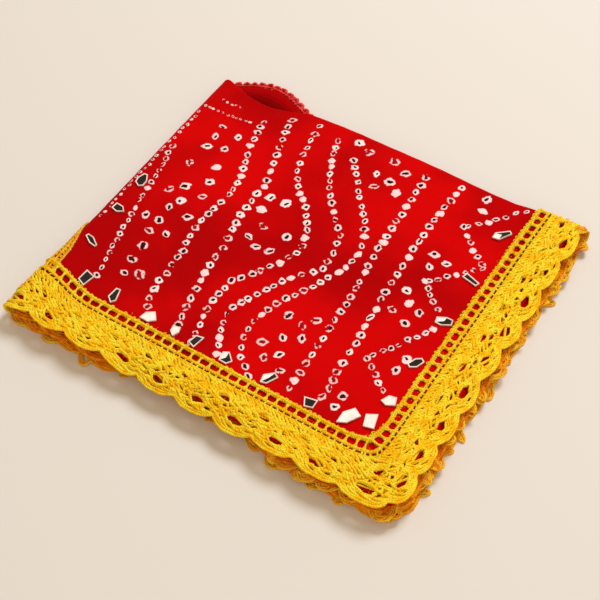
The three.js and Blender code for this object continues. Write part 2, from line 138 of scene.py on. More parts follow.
def middle(u, v):
    """The folded places of the flat points, on the cloth's middle surface."""
    u, v = np.broadcast_arrays(np.asarray(u, float), np.asarray(v, float))
    back_turn = math.pi / 2 * (1 + np.clip(v / BACK_ARC, -1, 1))
    inner = (1 - np.cos(back_turn)) / 2
    radius = LEFT_OUTER_RADIUS + (LEFT_INNER_RADIUS - LEFT_OUTER_RADIUS) * inner
    left_arc = math.pi / 2 * radius
    left_turn = math.pi / 2 * (1 - np.clip(u / left_arc, -1, 1))
    under = (1 - np.cos(left_turn)) / 2
    beyond = np.maximum(np.abs(u) - left_arc, 0)
    even_radius = LEFT_OUTER_RADIUS + (LEFT_INNER_RADIUS - LEFT_OUTER_RADIUS) * ease(0.5 + v / BLEND)
    x = LEFT_CENTRE + beyond + (left_arc - math.pi / 2 * even_radius) * ease(beyond / BLEND)
    x = x - radius * np.sin(left_turn)
    y = BACK_CENTRE - np.maximum(np.abs(v) - BACK_ARC, 0) + BACK_RADIUS * np.sin(back_turn)
    towards_front = ease(1 - y / BLEND)
    towards_right = ease(1 - (FOLDED_WIDTH - x) / BLEND)
    front = right = 0
    for name, share in shares_of(ease(0.5 - u / BLEND), ease(0.5 + v / BLEND)).items():
        front = front + share * LAYERS[name]["front"]
        right = right + share * LAYERS[name]["right"]
    gape = np.sin(math.pi * np.clip(x / GAPE_LENGTH, 0, 1)) ** GAPE_POWER
    gape = gape * ease(1 - (BACK_CENTRE - y) / GAPE_REACH)
    slip = LOWER_FOLD_SLIP * under - UPPER_FOLD_SLIP * (1 - under)
    y = y + front * towards_front * (1 - lift_along(FRONT_LIFTS, x)) + slip * gape
    flare = (1 - ease(x / FLARE_ALONG)) * ease(y / LACE_WIDTH) * (1 - ease((y - LACE_WIDTH) / FLARE_FADE))
    y = y + FLARE_SPREAD * flare - BACK_SKEW * (1 - x / FOLDED_WIDTH) * y / FOLDED_DEPTH
    x = x - right * towards_right
    z = LOWER_FOLD_RISE * under * gape * ease(0.7 + (y - BACK_CENTRE) / LOWER_FOLD_RAMP)
    tips_u = HALF_WIDTH - np.abs(u)
    tips_v = HALF_DEPTH - np.abs(v)
    laced = 1 - ease((tips_u - LACE_WIDTH) / LACE_SLOPE) * ease((tips_v - LACE_WIDTH) / LACE_SLOPE)
    tip = 1 - np.clip(tips_u / SINK_REACH, 0, 1) * np.clip(tips_v / SINK_REACH, 0, 1)
    roll = roll_of(x, y) * (1 - LACE_CALM * laced)
    for name, share in shares_of(under, inner).items():
        layer = LAYERS[name]
        sink = layer["sink"] * (1 - lift_of(x, y)) if name == "top" else layer["sink"]
        lying = layer["rest"] + (layer["laced"] - layer["rest"]) * laced
        z = z + share * (lying - sink * tip + layer["sway"] * roll)
    return np.stack([x, y, z], -1)


def unit(a):
    """The same directions, one long."""
    return a / np.maximum(np.linalg.norm(a, axis=-1, keepdims=True), 1e-12)


def normal_of(u, v):
    """Which way the cloth's right side faces."""
    step = 0.05
    along_u = middle(u + step, v) - middle(u - step, v)
    along_v = middle(u, v + step) - middle(u, v - step)
    return unit(np.cross(along_u, along_v))


# The scene's origin, from the front left corner of the folded stack
ORIGIN = np.array([FOLDED_WIDTH / 2, FOLDED_DEPTH / 2, 0])


def folded(u, v, w):
    """The folded places in millimetres, from the scene's origin."""
    w = np.asarray(w, float)
    return middle(u, v) + w[..., None] * normal_of(u, v) - ORIGIN


def on_top(x, y):
    """The flat place of a point on the top layer, from the left-hand fold and the front of the stack."""
    return x - LEFT_CENTRE + math.pi / 2 * LEFT_OUTER_RADIUS, y - BACK_CENTRE - BACK_ARC


# Materials. Their patterns are sized in millimetres. Object coordinates are metres, so a noise of a given
# size has a scale of 1000 over it. A wave's bands lie BANDS apart at scale 1, and SLANT_BANDS apart along a
# slanting wave.
BANDS = 0.1 * math.pi
SLANT_BANDS = 0.2 * math.pi
# The two plies of the yarn turn round each other once in this length
PLY_TURN = 4
# The real threads lie 0.3 mm apart. They are drawn coarser, so that they show.
DRAWN_THREAD = 0.63
# A ring's chance runs from 0 to 1: those from BROKEN_FROM on are broken, where the thread slipped, and those
# within BARE_SPREAD of BARE_MIDDLE, one in nine, have no dot
BROKEN_FROM = 0.62
BARE_MIDDLE, BARE_SPREAD = 0.33, 0.055


def linear(colour):
    """An sRGB hex colour as linear RGBA."""
    parts = [int(colour[i : i + 2], 16) / 255 for i in (1, 3, 5)]
    return (*[c / 12.92 if c <= 0.04045 else ((c + 0.055) / 1.055) ** 2.4 for c in parts], 1)


def new_material(name, roughness, specular):
    """A material with its node tree and its shader."""
    material = bpy.data.materials.new(name)
    material.use_nodes = True
    tree = material.node_tree
    shader = tree.nodes["Principled BSDF"]
    shader.inputs["Roughness"].default_value = roughness
    shader.inputs["Specular IOR Level"].default_value = specular
    return material, tree, shader


def add_node(tree, kind, settings, inputs, output=0):
    """Adds a node and gives one of its outputs. The inputs are values or other nodes' outputs."""
    node = tree.nodes.new("ShaderNode" + kind)
    for key, value in settings.items():
        setattr(node, key, value)
    for key, value in inputs.items():
        if isinstance(value, bpy.types.NodeSocket):
            tree.links.new(value, node.inputs[key])
        else:
            node.inputs[key].default_value = value
    return node.outputs[output]


MIX_COLOURS = {"data_type": "RGBA"}
SMOOTH = {"interpolation_type": "SMOOTHSTEP"}


def dyed_red(tree, place):
    """The ground: deeper where the dye took more, and darkened by painted shade, a deep red, over the third
    layer in front of the lower back fold, where the open corner's trough lies in shadow.
    """
    took = add_node(tree, "TexNoise", {}, {"Vector": place, "Scale": 1000 / 111, "Detail": 3.0})
    took = add_node(tree, "MapRange", SMOOTH, {"Value": took, "From Min": 0.36, "From Max": 0.64})
    red = add_node(tree, "Mix", MIX_COLOURS, {0: took, 6: linear("#AC0004"), 7: linear("#D00204")}, 2)
    shade = add_node(tree, "Attribute", {"attribute_name": "fold_shade"}, {}, "Fac")
    return add_node(tree, "Mix", MIX_COLOURS, {0: shade, 6: red, 7: linear("#7C0002")}, 2)


def creased_measure(tree, place):
    """Where a point lies in its face's own ring, 1 at the ring's outer edge, pushed about by 4 mm creases."""
    measure = add_node(tree, "UVMap", {"uv_map": "ring"}, {})
    creases = add_node(tree, "TexNoise", {}, {"Vector": place, "Scale": 1000 / 3.8, "Detail": 1.0}, "Color")
    creases = add_node(tree, "VectorMath", {"operation": "SUBTRACT"}, {0: creases, 1: (0.5, 0.5, 0.5)})
    creases = add_node(tree, "VectorMath", {"operation": "SCALE"}, {0: creases, "Scale": 0.8})
    measure = add_node(tree, "VectorMath", {"operation": "ADD"}, {0: measure, 1: creases})
    return add_node(tree, "VectorMath", {"operation": "MULTIPLY"}, {0: measure, 1: (1, 1, 0)})


def away_from_middle(tree, measure):
    """How far a point is from its ring's middle. A ring is nearly an oval, and a little of a lozenge."""
    oval = add_node(tree, "VectorMath", {"operation": "LENGTH"}, {0: measure}, "Value")
    sides = add_node(tree, "VectorMath", {"operation": "ABSOLUTE"}, {0: measure})
    corners = {0: sides, 1: (0.28, 0.28, 0)}
    lozenge = add_node(tree, "VectorMath", {"operation": "DOT_PRODUCT"}, corners, "Value")
    return add_node(tree, "Math", {"operation": "MULTIPLY_ADD"}, {0: oval, 1: 0.68, 2: lozenge})


def undyed_ring(tree, place, away, chance):
    """1 where the knotted thread kept the cloth white."""
    outside = add_node(tree, "MapRange", SMOOTH, {"Value": away, "From Min": 0.88, "From Max": 1.02})
    ring = add_node(tree, "Math", {"operation": "SUBTRACT"}, {0: 1.0, 1: outside})
    kept = add_node(tree, "TexNoise", {}, {"Vector": place, "Scale": 1000 / 4.2, "Detail": 1.0})
    kept = add_node(tree, "MapRange", SMOOTH, {"Value": kept, "From Min": 0.40, "From Max": 0.46})
    whole = add_node(tree, "Math", {"operation": "LESS_THAN"}, {0: chance, 1: BROKEN_FROM})
    kept = add_node(tree, "Math", {"operation": "MAXIMUM"}, {0: kept, 1: whole})
    return add_node(tree, "Math", {"operation": "MULTIPLY"}, {0: ring, 1: kept})


def dyed_dot(tree, place, measure, chance):
    """1 in the narrow dot of dye, which lies off the ring's middle."""
    shift = add_node(tree, "TexNoise", {}, {"Vector": place, "Scale": 1000 / 9, "Detail": 1.0}, "Color")
    shift = add_node(tree, "VectorMath", {"operation": "SUBTRACT"}, {0: shift, 1: (0.5, 0.5, 0.5)})
    shifted = add_node(tree, "VectorMath", {"operation": "ADD"}, {0: measure, 1: shift})
    shifted = add_node(tree, "VectorMath", {"operation": "MULTIPLY"}, {0: shifted, 1: (1, 1.35, 0)})
    away = add_node(tree, "VectorMath", {"operation": "LENGTH"}, {0: shifted}, "Value")
    size = add_node(tree, "Math", {"operation": "MULTIPLY_ADD"}, {0: chance, 1: 0.24, 2: 0.4})
    dot = add_node(tree, "Math", {"operation": "SUBTRACT"}, {0: size, 1: away})
    dot = add_node(tree, "MapRange", SMOOTH, {"Value": dot, "From Min": -0.07, "From Max": 0.05})
    bare = {0: chance, 1: BARE_MIDDLE, 2: BARE_SPREAD}
    bare = add_node(tree, "Math", {"operation": "COMPARE"}, bare)
    dotted = add_node(tree, "Math", {"operation": "SUBTRACT"}, {0: 1.0, 1: bare})
    return add_node(tree, "Math", {"operation": "MULTIPLY"}, {0: dot, 1: dotted})


def woven_bumps(tree, place, away):
    """The threads, soft crinkles of 8 mm, and the peak that the knot left in each ring."""
    threads = {"Vector": add_node(tree, "UVMap", {"uv_map": "weave"}, {}), "Scale": BANDS / DRAWN_THREAD}
    weft = add_node(tree, "TexWave", {"bands_direction": "X"}, threads, "Fac")
    warp = add_node(tree, "TexWave", {"bands_direction": "Y"}, threads, "Fac")
    weave = add_node(tree, "Math", {"operation": "MULTIPLY"}, {0: weft, 1: warp})
    crinkle = add_node(tree, "TexNoise", {}, {"Vector": place, "Scale": 1000 / 7.7, "Detail": 4.0})
    within = add_node(tree, "Math", {"operation": "SUBTRACT", "use_clamp": True}, {0: 1.15, 1: away})
    peak = add_node(tree, "Math", {"operation": "MULTIPLY"}, {0: within, 1: 1.4})
    bumped = add_node(tree, "Bump", {}, {"Height": weave, "Strength": 0.25, "Distance": 0.0002})
    crinkled = {"Height": crinkle, "Strength": 0.5, "Distance": 0.0007, "Normal": bumped}
    bumped = add_node(tree, "Bump", {}, crinkled)
    peaked = {"Height": peak, "Strength": 0.55, "Distance": 0.0006, "Normal": bumped}
    return add_node(tree, "Bump", {}, peaked)


def dyed_cotton():
    """Plain-weave cotton, tie-dyed by hand: a matt deep red, deeper where the dye took more, with small
    white rings, each with a dark dot and a crinkled peak in it."""
    material, tree, shader = new_material("tie_dyed_cotton", 0.82, 0.08)
    place = add_node(tree, "TexCoord", {}, {}, "Object")
    chance = add_node(tree, "Attribute", {"attribute_name": "ring_chance"}, {}, "Fac")
    measure = creased_measure(tree, place)
    away = away_from_middle(tree, measure)
    ring = undyed_ring(tree, place, away, chance)
    white = add_node(tree, "Mix", MIX_COLOURS, {0: chance, 6: linear("#F6EBF1"), 7: linear("#EEC4CC")}, 2)
    colour = add_node(tree, "Mix", MIX_COLOURS, {0: ring, 6: dyed_red(tree, place), 7: white}, 2)
    # The dots of the broken rings are red, and the others nearly black
    reddish = add_node(tree, "MapRange", SMOOTH, {"Value": chance, "From Min": 0.6, "From Max": 0.8})
    dark = {0: reddish, 6: linear("#340812"), 7: linear("#9A0C14")}
    dark = add_node(tree, "Mix", MIX_COLOURS, dark, 2)
    dot = dyed_dot(tree, place, measure, chance)
    colour = add_node(tree, "Mix", MIX_COLOURS, {0: dot, 6: colour, 7: dark}, 2)
    tree.links.new(colour, shader.inputs["Base Color"])
    tree.links.new(woven_bumps(tree, place, away), shader.inputs["Normal"])
    return material


def crochet_yarn(name, light, deep):
    """Two-ply spun cotton, dyed in the hank: dull, with patches of deeper dye, pale hairs and a slanting
    twist. Each copy's light and deep colours also carry painted light and shade: lighter for lit places,
    deeper for shaded ones."""
    material, tree, shader = new_material(name, 0.9, 0.15)
    shader.inputs["Sheen Weight"].default_value = 0.15
    shader.inputs["Sheen Tint"].default_value = linear("#FFD060")
    place = add_node(tree, "TexCoord", {}, {}, "Object")
    patch = add_node(tree, "TexNoise", {}, {"Vector": place, "Scale": 1000 / 6.2, "Detail": 3.0})
    patch = add_node(tree, "MapRange", SMOOTH, {"Value": patch, "From Min": 0.35, "From Max": 0.65})
    body = add_node(tree, "Mix", MIX_COLOURS, {0: patch, 6: linear(deep), 7: linear(light)}, 2)
    # Hairs are drawn 0.7 mm wide, many times too coarse, so that they show
    hairs = add_node(tree, "TexNoise", {}, {"Vector": place, "Scale": 1000 / 0.67, "Detail": 2.0})
    pale = add_node(tree, "MapRange", SMOOTH, {"Value": hairs, "From Min": 0.52, "From Max": 0.75})
    body = add_node(tree, "Mix", MIX_COLOURS, {0: pale, 6: body, 7: linear(light)}, 2)
    tree.links.new(body, shader.inputs["Base Color"])
    # A groove crosses the strand twice in every turn of the two plies
    ply = add_node(tree, "UVMap", {"uv_map": "ply"}, {})
    twist = {"Vector": ply, "Scale": SLANT_BANDS / (PLY_TURN / 2)}
    grooves = add_node(tree, "TexWave", {"bands_direction": "DIAGONAL"}, twist, "Fac")
    bumped = add_node(tree, "Bump", {}, {"Height": grooves, "Strength": 0.7, "Distance": 0.0005})
    hairy = {"Height": hairs, "Strength": 0.5, "Distance": 0.0003, "Normal": bumped}
    bumped = add_node(tree, "Bump", {}, hairy)
    tree.links.new(bumped, shader.inputs["Normal"])
    return material


def mirror_glass(name, face, cloud, roughness, specular):
    """Thin blown glass, cut by hand: smooth and faintly wavy, and clouded in places as old backing is."""
    material, tree, shader = new_material(name, roughness, specular)
    place = add_node(tree, "TexCoord", {}, {}, "Object")
    clouds = add_node(tree, "TexNoise", {}, {"Vector": place, "Scale": 1000 / 5, "Detail": 2.0})
    clouded = add_node(tree, "MapRange", SMOOTH, {"Value": clouds, "From Min": 0.4, "From Max": 0.7})
    colour = add_node(tree, "Mix", MIX_COLOURS, {0: clouded, 6: linear(face), 7: linear(cloud)}, 2)
    tree.links.new(colour, shader.inputs["Base Color"])
    wavy = add_node(tree, "Bump", {}, {"Height": clouds, "Strength": 0.2, "Distance": 0.0004})
    tree.links.new(wavy, shader.inputs["Normal"])
    return material


def painted_floor():
    """A matt painted board: one even pale colour with no gloss."""
    material, tree, shader = new_material("painted_floor", 0.75, 0.2)
    shader.inputs["Base Color"].default_value = linear("#E3E3E2")
    return material


# Meshes


def make_piece(name, points, faces, material, node, uv):
    """One piece from points in millimetres and faces; uv gives each layer a pair for every face corner."""
    mesh = bpy.data.meshes.new(name)
    mesh.from_pydata((np.asarray(points) / 1000).tolist(), [], faces)
    for layer, values in uv.items():
        mesh.uv_layers.new(name=layer).data.foreach_set("uv", np.asarray(values, np.float32).ravel())
    mesh.materials.append(material)
    mesh.polygons.foreach_set("use_smooth", [True] * len(mesh.polygons))
    piece = bpy.data.objects.new(name, mesh)
    bpy.context.scene.collection.objects.link(piece)
    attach(piece, "root")
    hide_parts(node)
    return piece


# How much the yarn's thickness varies, and how far every strand stays above the floor
UNEVEN_YARN = 0.12
FLOOR_CLEARANCE = 0.05


class Strands:
    """Yarn strands, given by their points (u, v, w), gathered into one mesh of tubes."""

    def __init__(self, sides=5):
        self.sides = sides
        self.groups = {}

    def add(self, path, radius):
        self.groups.setdefault(len(path), []).append((np.asarray(path, float), radius))

    def mesh(self):
        points, faces, uv = [], [], []
        start = 0
        for count, members in self.groups.items():
            path = np.stack([p for p, _ in members])
            radius = np.array([r for _, r in members])[:, None, None, None]
            centre = folded(path[..., 0], path[..., 1], path[..., 2])
            lowest = radius[:, :, 0, 0] * (1 + UNEVEN_YARN) + FLOOR_CLEARANCE
            centre[..., 2] = np.maximum(centre[..., 2], lowest)
            up = normal_of(path[..., 0], path[..., 1])
            along = unit(np.gradient(centre, axis=1))
            side = unit(np.cross(along, up))
            over = np.cross(side, along)
            turn = 2 * math.pi * np.arange(self.sides) / self.sides
            rim = np.cos(turn)[:, None] * side[:, :, None] + np.sin(turn)[:, None] * over[:, :, None]
            uneven = 1 + UNEVEN_YARN * rng.uniform(-1, 1, (len(members), count, 1, 1))
            points.append((centre[:, :, None] + radius * uneven * rim).reshape(-1, 3))
            steps = np.diff(centre, axis=1, prepend=centre[:, :1])
            length = np.cumsum(np.linalg.norm(steps, axis=-1), axis=1)
            base = start + np.arange(len(members))[:, None, None] * count * self.sides
            first_rim = base + np.arange(count - 1)[None, :, None] * self.sides
            next_rim = first_rim + self.sides
            here = np.arange(self.sides)
            after = (here + 1) % self.sides
            quads = [first_rim + here, first_rim + after, next_rim + after, next_rim + here]
            faces += np.stack(quads, -1).reshape(-1, 4).tolist()
            # One turn round the strand measures PLY_TURN, as along it, so that the grooves slant evenly
            low = (here / self.sides * PLY_TURN)[None, None, :] + 0 * length[:, :-1, None]
            high = low + PLY_TURN / self.sides
            near, far = length[:, :-1, None] + 0 * low, length[:, 1:, None] + 0 * low
            corners = [(near, low), (near, high), (far, high), (far, low)]
            uv.append(np.stack([np.stack(c, -1) for c in corners], -2).reshape(-1, 2))
            first = base[:, 0, 0][:, None] + here[::-1]
            last = base[:, 0, 0][:, None] + (count - 1) * self.sides + here
            caps = np.concatenate([first, last])
            faces += caps.tolist()
            uv.append(np.zeros((caps.size, 2)))
            start += len(members) * count * self.sides
        return np.concatenate(points), faces, np.concatenate(uv)

    def piece(self, name, material, slot, node):
        points, faces, uv = self.mesh()
        return make_piece(name, points, faces, material, node, {"ply": uv})


# The rings of the tie-dye on the top quarter. The dye went through all four layers, so every quarter carries
# the same rings, mirrored. Each line gives its rings' radius and distance apart, and points that it passes
# through: x from the left-hand fold and y from the front of the folded stack.
RING_LINES = (
    (3.1, 7.8, ((11, 214), (19, 178), (25, 140), (33, 100), (43, 60))),
    (3.8, 9.0, ((59, 288), (66, 250), (78, 220), (82, 190), (80, 150), (86, 115), (88, 80), (97, 55))),
    (3.8, 9.2, ((78, 299), (88, 262), (100, 222), (103, 180), (110, 145), (115, 100), (128, 48))),
    (3.6, 8.5, ((103, 301), (110, 265), (122, 235), (148, 210), (163, 178),
                (155, 150), (138, 122), (134, 88), (143, 48))),
    (3.5, 8.2, ((126, 294), (136, 266), (158, 232), (184, 200), (188, 168),
                (172, 146), (160, 118), (150, 90), (166, 50))),
    (3.6, 8.4, ((150, 281), (174, 250), (197, 220), (206, 188), (193, 150),
                (178, 120), (172, 92), (178, 66), (198, 46))),
    (3.7, 9.0, ((210, 296), (214, 260), (216, 225), (220, 180), (224, 135), (226, 95), (229, 48))),
    (3.8, 9.3, ((240, 303), (240, 255), (242, 210), (245, 160), (249, 115), (254, 58))),
    (3.2, 8.0, ((298, 307), (281, 287), (263, 265))),
    (3.2, 8.0, ((263, 265), (281, 249), (297, 235))),
    (3.0, 7.6, ((297, 235), (280, 216), (265, 198))),
    (3.0, 7.6, ((265, 198), (276, 187), (289, 177))),
    (3.0, 7.6, ((294, 160), (278, 134), (264, 110))),
    (3.2, 8.2, ((264, 110), (278, 98), (292, 88))),
    (1.7, 4.4, ((6, 272), (28, 275), (54, 283))),
    (1.5, 4.6, ((16, 289), (26, 291), (36, 295))),
    (1.9, 6.4, ((6, 262), (5, 200), (6, 140), (6, 104))),
)
# Loose rings between the lines: the box that they lie in, as low and high corner, and how many
RING_ZONES = (
    ((32, 108, 68, 264), 19),
    ((56, 72, 76, 96), 3),
    ((112, 148, 148, 214), 8),
    ((186, 62, 214, 124), 9),
    ((172, 256, 200, 298), 6),
    ((255, 150, 284, 232), 8),
    ((258, 288, 274, 308), 2),
    ((262, 48, 272, 72), 2),
    ((284, 110, 298, 128), 2),
    ((140, 292, 158, 302), 2),
)
LOOSE_RING = 4.6
LOOSE_RING_TRIES = 400
# The measure of a face that belongs to no ring, far outside them all
NO_RING = 9.0


def curve_through(points, steps=24):
    """A smooth line through the points, in short steps."""
    points = np.array(points, float)
    knots = np.array([2 * points[0] - points[1], *points, 2 * points[-1] - points[-2]])
    t = np.linspace(0, 1, steps, endpoint=False)[:, None]
    parts = []
    for a, b, c, d in zip(knots, knots[1:], knots[2:], knots[3:]):
        square, cube = 2 * a - 5 * b + 4 * c - d, 3 * b - a - 3 * c + d
        parts.append(0.5 * (2 * b + (c - a) * t + square * t**2 + cube * t**3))
    return np.concatenate([*parts, points[-1:]])


def ring_table():
    """Every ring of a quarter: its |u|, |v|, half-length, half-width, turn and chance."""
    rows = []
    for radius, pitch, points in RING_LINES:
        line = curve_through(points)
        length = np.concatenate([[0], np.cumsum(np.linalg.norm(np.diff(line, axis=0), axis=1))])
        at = 0.0
        while at <= length[-1]:
            x, y = (np.interp(at, length, line[:, k]) for k in (0, 1))
            near = np.interp(at + 2, length, line[:, 0]) - x, np.interp(at + 2, length, line[:, 1]) - y
            turn = math.atan2(near[1], near[0]) + rng.normal(0, 0.25)
            wide = radius * rng.uniform(0.62, 1.08)
            place = x + rng.normal(0, 0.5), y + rng.normal(0, 0.5)
            rows.append((*place, radius * rng.uniform(0.85, 1.1), wide, turn))
            at += pitch * rng.uniform(0.86, 1.16)
    for (x0, y0, x1, y1), count in RING_ZONES:
        placed = 0
        for _ in range(LOOSE_RING_TRIES):
            x, y = rng.uniform(x0, x1), rng.uniform(y0, y1)
            if placed < count and min(math.hypot(x - r[0], y - r[1]) for r in rows) > 2.5 * LOOSE_RING:
                size = LOOSE_RING * rng.uniform(0.85, 1.12)
                rows.append((x, y, size, size * rng.uniform(0.7, 0.95), rng.uniform(0, math.pi)))
                placed += 1
    rings = np.array(rows)
    rings[:, :2] = np.abs(np.stack(on_top(rings[:, 0], rings[:, 1]), -1))
    return np.column_stack([rings, rng.random(len(rings))])


def lines_between(stops):
    """Lines from stop to stop, given as (place, step up to it)."""
    made = [stops[0][0]]
    for place, step in stops[1:]:
        count = max(1, round(abs(place - made[-1]) / step))
        made += np.linspace(made[-1], place, count + 1)[1:].tolist()
    return np.array(made)


def cloth_rise(u, v, rings):
    """How far the cloth stands up: soft puckers at the rings and long wrinkles, less on the lower layers and
    none on the bottom one, which lies on the floor."""
    away = np.full(u.shape, NO_RING)
    for ring in rings:
        away = np.minimum(away, np.hypot(np.abs(u) - ring[0], np.abs(v) - ring[1]) / ring[3])
    puckered = 0.27 * np.exp(-(away**2))
    crinkled = 0.07 * np.sin(u / 3.1 + 1.7 * np.sin(v / 11)) + 0.09 * np.sin(v / 4.3 + 1.9 * np.sin(u / 17))
    wrinkled = 0.22 * np.sin((u + 0.6 * v) / 15 + 2 * np.sin(v / 47)) * ease((np.abs(u) - 20) / 30)
    lower = np.where(v < 0, 1, 0.3) * np.where(u > 0, 1, 0.3 * (v > 0))
    return (puckered + (crinkled + wrinkled)) * lower


def nearest_rings(centres, rings, batch=8000):
    """The ring that each face belongs to, found in batches to spare memory."""
    nearest = np.empty(len(centres), int)
    for start in range(0, len(centres), batch):
        gap = centres[start : start + batch, None] - rings[None, :, :2]
        nearest[start : start + batch] = np.argmin((gap**2).sum(-1) / rings[:, 3] ** 2, axis=1)
    return rings[nearest]


def rim_faces(columns, rows):
    """The narrow faces that join the cloth's two sides all round its edge."""
    count = columns * rows
    rim = []
    for line, turned in (
        (np.arange(rows), True),
        (np.arange(rows) + (columns - 1) * rows, False),
        (np.arange(columns) * rows, False),
        (np.arange(columns) * rows + rows - 1, True),
    ):
        p, q = (line[1:], line[:-1]) if turned else (line[:-1], line[1:])
        rim.append(np.stack([p, p + count, q + count, q], -1))
    return np.concatenate(rim)


def make_cloth(material):
    """The cloth: one closed sheet, with a fine grid on top and at the folds and a coarse one below."""
    edge_u, edge_v = HALF_WIDTH - CLOTH_EDGE_INSET, HALF_DEPTH - CLOTH_EDGE_INSET
    u_lines = lines_between([(-edge_u, 0), (-60, 6), (-15, 3), (15, 1.4), (edge_u, 2.3)])
    v_lines = lines_between([(-edge_v, 0), (-5, 2.3), (5, 0.8), (60, 3), (edge_v, 6)])
    u, v = np.meshgrid(u_lines, v_lines, indexing="ij")
    rings = ring_table()
    rise = cloth_rise(u, v, rings)
    sides = [folded(u, v, rise + side * CLOTH_THICK / 2).reshape(-1, 3) for side in (1, -1)]
    columns, rows = u.shape
    i, j = np.meshgrid(np.arange(columns - 1), np.arange(rows - 1), indexing="ij")
    a = (i * rows + j).ravel()
    right_side = np.stack([a, a + rows, a + rows + 1, a + 1], -1)
    wrong_side = right_side[:, ::-1] + u.size
    rim = rim_faces(columns, rows)
    flat = np.stack([u.ravel(), v.ravel()], -1)
    body_corners = flat[np.concatenate([right_side, wrong_side % u.size])]
    rim_corners = flat[rim % u.size]
    ring = nearest_rings(np.abs(body_corners.mean(1)), rings)
    gap = np.abs(body_corners) - ring[:, None, :2]
    c, s = np.cos(-ring[:, 4])[:, None], np.sin(-ring[:, 4])[:, None]
    measure = np.stack([gap[..., 0] * c + gap[..., 1] * s, gap[..., 1] * c - gap[..., 0] * s], -1)
    uv = {
        "ring": np.concatenate([measure / ring[:, None, 2:4], np.full(rim_corners.shape, NO_RING)]),
        "weave": np.concatenate([body_corners, rim_corners]),
    }
    faces = np.concatenate([right_side, wrong_side, rim]).tolist()
    piece = make_piece("dyed_cloth", np.concatenate(sides), faces, material, "cloth", uv)
    centres = uv["weave"].mean(1)
    # fold_shade is painted shade: the third layer darkens towards the front from 4 mm past the back fold, as
    # in the shaded trough of the open corner.
    for name, values in (
        ("ring_chance", np.concatenate([ring[:, 5], np.zeros(len(rim))])),
        ("fold_shade", (centres[:, 0] < 0) * ease((centres[:, 1] - 4) / 12)),
    ):
        piece.data.attributes.new(name, "FLOAT", "FACE").data.foreach_set("value", values)
    return piece


# The lace: rows of chain stitches and eyelets, a dense band, and an outer part worked round diamonds and
# eyes. s runs along the edge from the left-hand fold, round the corner and up to the back fold, and t
# outwards from the field. The corner has CORNER_SPAN of s. Its rows are rounded squares, CORNER_LENGTH
# times t long, and the inner ones cut across it by CORNER_CUT.
REPEAT_LENGTH = 34
REPEATS_U, REPEATS_V = (round(2 * field / REPEAT_LENGTH) // 2 for field in (FIELD_U, FIELD_V))
CORNER_SPAN = 60
CORNER_POWER = 3.8
CORNER_LENGTH = 1.77
CORNER_CUT, CORNER_CUT_SPREAD = 3.8, 13
EYELETS_PER_REPEAT = 4
LACE_MIDDLE = 2.4
HEAD_ROW, EYELET_ROW, MESH_MIDDLE, MESH_ROW, BAND_ROW = 1.2, 9.2, 11, 13.0, 20.6
NOTCH_REACH, SCALLOP_REACH, CORNER_REACH = 38.6, 4.8, 1.4
# Rows run on a little past both folds
ROW_START, ROW_PAST = -4, 3
# The holes that the strands part round, as t, half-length along the edge and half-width
EYE = (34.2, 6.2, 3.9)
DIAMOND = (23.2, 4.8, 3.7)
CORNER_DIAMOND = (23.0, 7.0, 3.8)
# The small slits of each scallop, as s from its tip, and t
SLITS = ((-11, 27.5), (-5, 29), (6, 28), (12, 26.5), (17, 31.5), (-3, 39), (9, 37))
# Radii of the yarn in chains and loops, in bars and hidden rows, in the dense band, and of a single fibre
CHAIN_YARN, BAR_YARN, BAND_YARN, FIBRE = 0.8, 0.85, 1.12, 0.085
# The cords that close the scallops, as share of the way out to their edge, radius and height
EDGE_CORDS = ((0.86, 0.95, 2.2), (0.92, 1.05, 2.9), (0.975, 1.05, 2.3), (1.0, 0.95, 3.0))


